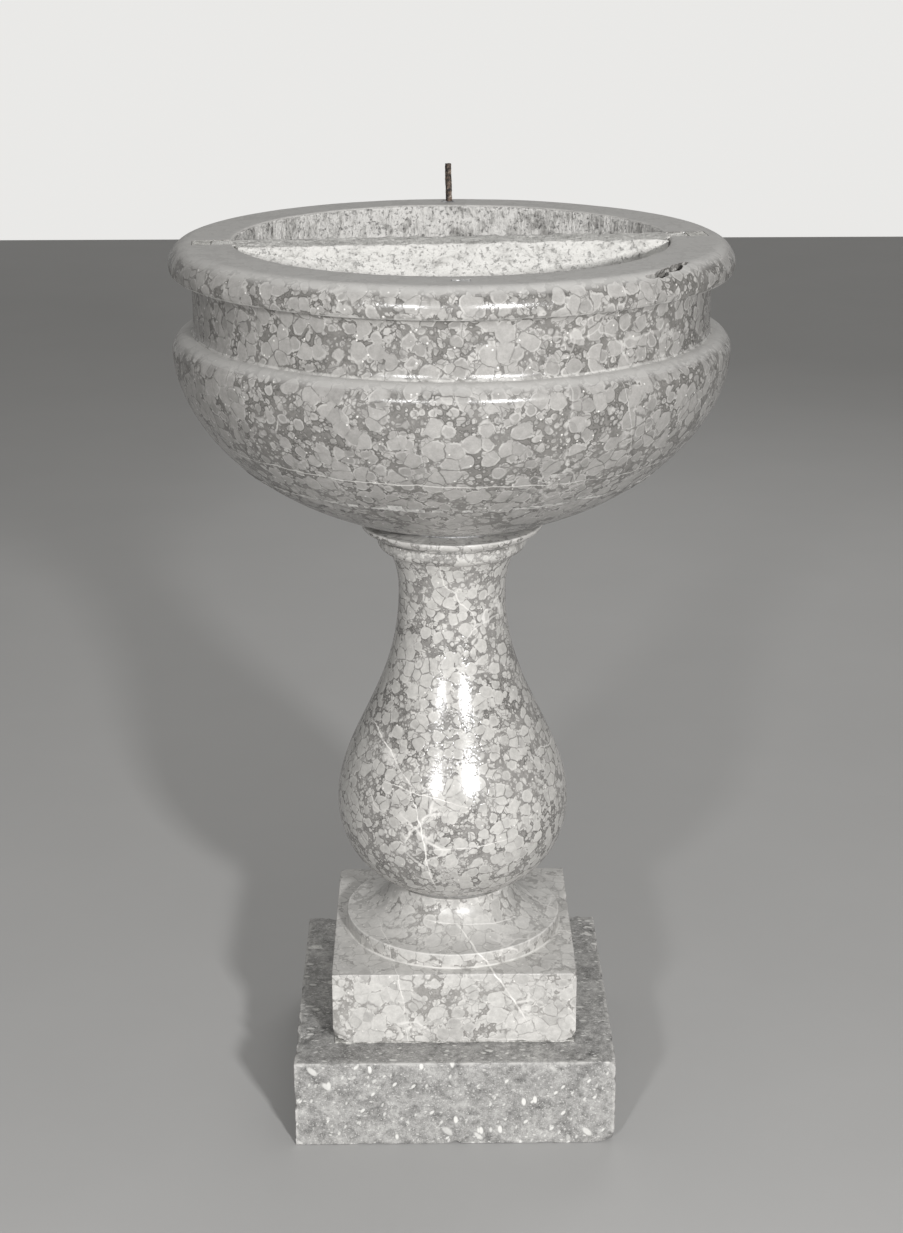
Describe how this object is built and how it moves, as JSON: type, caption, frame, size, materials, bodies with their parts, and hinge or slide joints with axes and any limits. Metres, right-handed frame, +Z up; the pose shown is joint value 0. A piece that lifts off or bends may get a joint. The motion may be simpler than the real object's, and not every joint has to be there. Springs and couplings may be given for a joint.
{
  "type": "baptismal font",
  "caption": "Free-standing turned stone baptismal font: square step and plinth, round foot, baluster stem and a wide bowl parted by an upright slab.",
  "frame": {"origin": "middle of the step's underside, on the floor", "axes": "+Z up along the turned axis; +Y to the back, where the lid's iron pivot stands; +X to the right seen from the front"},
  "size_m": [0.6812, 0.6812, 1.18],
  "materials": {
    "nodular_marble": "polished nodular limestone, worn to a soft shine",
    "fossil_limestone": "honed dark limestone with pale shell flecks",
    "hewn_marble": "rough chisel-dressed stone",
    "lime_mortar": "dry pale lime mortar",
    "lead": "dull grey lead",
    "wrought_iron": "dark rusted wrought iron",
    "bronze": "dark toned bronze"
  },
  "bodies": {
    "font": {"step_block": "fossil_limestone", "step_bed_mortar": "lime_mortar", "plinth_block": "nodular_marble", "foot_bed_lead": "lead", "baluster": "nodular_marble", "bowl_bed_lead": "lead", "bowl": "nodular_marble", "basin_divider": "hewn_marble", "ear_mortar_left": "lime_mortar", "ear_mortar_right": "lime_mortar", "lid_pivot_pin": "wrought_iron", "pivot_pin_lead": "lead", "latch_socket_lead": "lead", "step_dowel_left": "wrought_iron", "step_dowel_right": "wrought_iron", "foot_dowel_left": "wrought_iron", "foot_dowel_right": "wrought_iron", "bowl_dowel_left": "wrought_iron", "bowl_dowel_right": "wrought_iron", "drain_pipe": "lead", "drain_ferrule": "bronze"},
    "plug": {"drain_plug": "bronze"},
    "plug_ring": {"pull_ring": "bronze"}
  },
  "joints": [
    {"name": "plug_lift", "type": "slide", "parent": "font", "child": "plug", "axis": [0, 0, 1], "range_m": [0, 0.3]},
    {"name": "ring_swing", "type": "hinge", "parent": "plug", "child": "plug_ring", "pos_m": [0, -0.067, 0.8788], "axis": [-1, 0, 0], "range_deg": [0, 150]}
  ]
}
